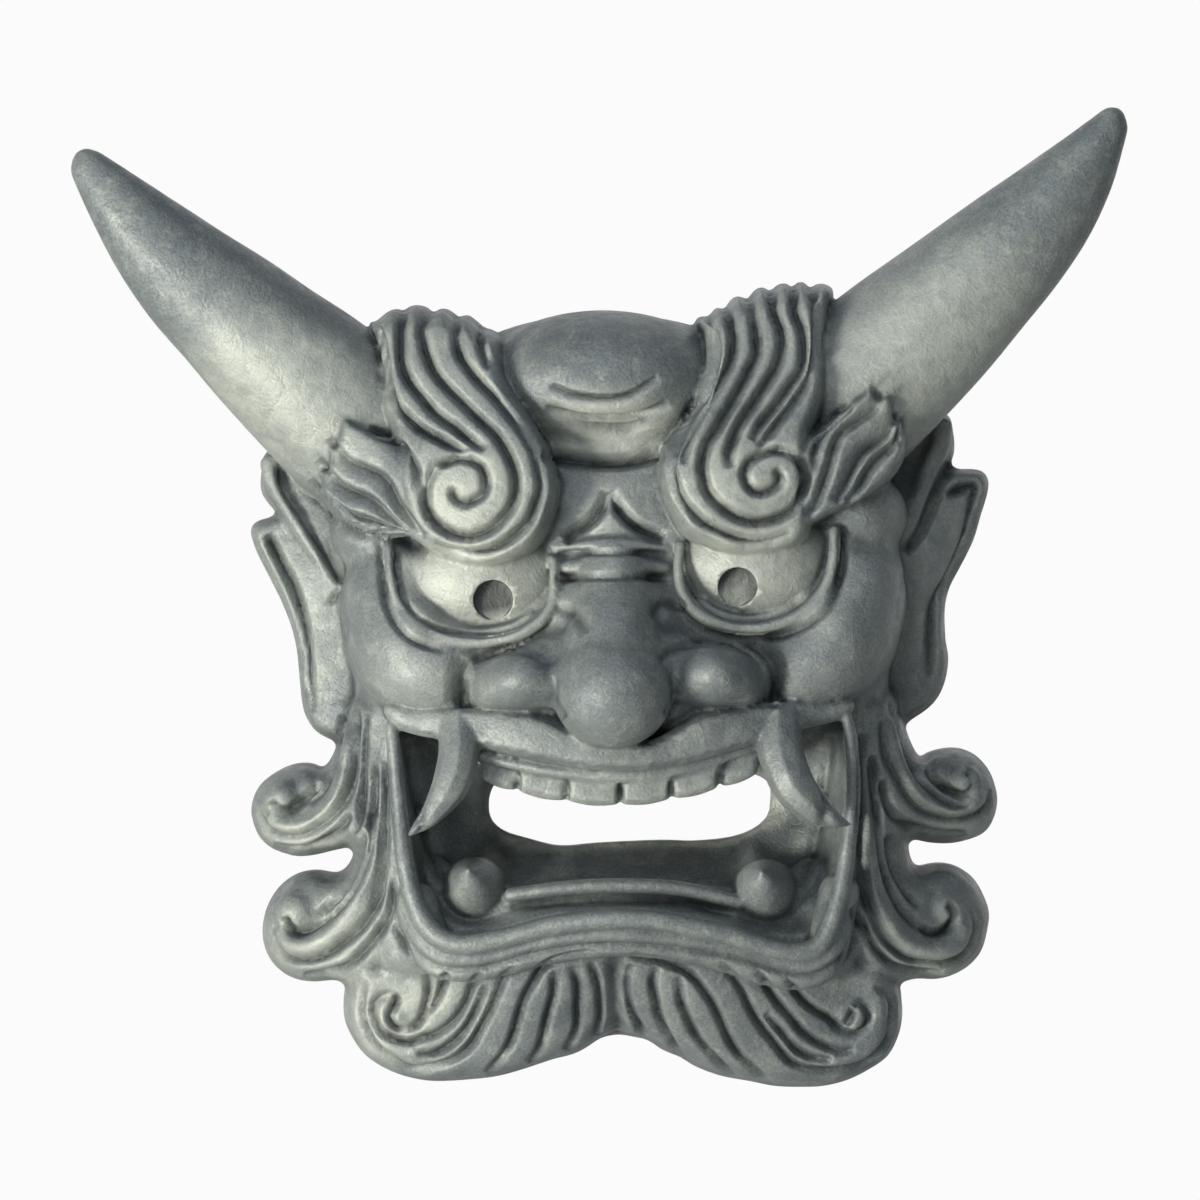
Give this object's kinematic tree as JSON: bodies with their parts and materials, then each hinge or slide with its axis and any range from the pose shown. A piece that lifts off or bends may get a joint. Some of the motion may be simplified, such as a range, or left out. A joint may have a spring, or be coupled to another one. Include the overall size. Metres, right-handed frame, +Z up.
{
  "type": "onigawara roof tile",
  "caption": "Ridge-end roof tile of fired clay: a hollow-backed horned demon face with curling brows, open toothed mouth and scrolled beard.",
  "frame": {"origin": "on the flat back rim, at the middle of the crown, in the plane that beds on the ridge end", "axes": "+X to the viewer's right, across the face; +Y straight back into the ridge; +Z up"},
  "size_m": [0.4138, 0.14, 0.3938],
  "materials": {
    "ibushi_clay": "smoke-fired, dull silver-grey"
  },
  "bodies": {
    "root": {"onigawara_tile": "ibushi_clay"}
  },
  "joints": []
}
